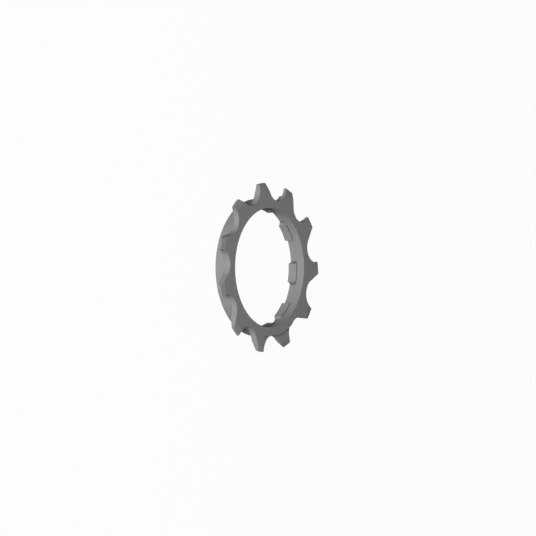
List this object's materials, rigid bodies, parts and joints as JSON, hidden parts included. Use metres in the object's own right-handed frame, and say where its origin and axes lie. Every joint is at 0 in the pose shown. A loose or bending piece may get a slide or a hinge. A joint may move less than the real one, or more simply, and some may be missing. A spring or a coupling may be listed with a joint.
{
  "type": "bicycle cassette cog",
  "caption": "Small steel cog for a bicycle cassette: a ring of hooked teeth with a shift ramp, a splined bore for the hub body and a spacer collar behind.",
  "frame": {"origin": "on the axis of the bore, in the plane of the collar's back end", "axes": "+Z along the bore's axis, out of the front face, which is the side away from the wheel; +X through the tooth at the right when the front is looked at"},
  "size_m": [0.0455, 0.0459, 0.005],
  "materials": {
    "steel": "satin, fine-blasted, dull plated steel"
  },
  "bodies": {
    "root": {"cog": "steel"}
  },
  "joints": []
}
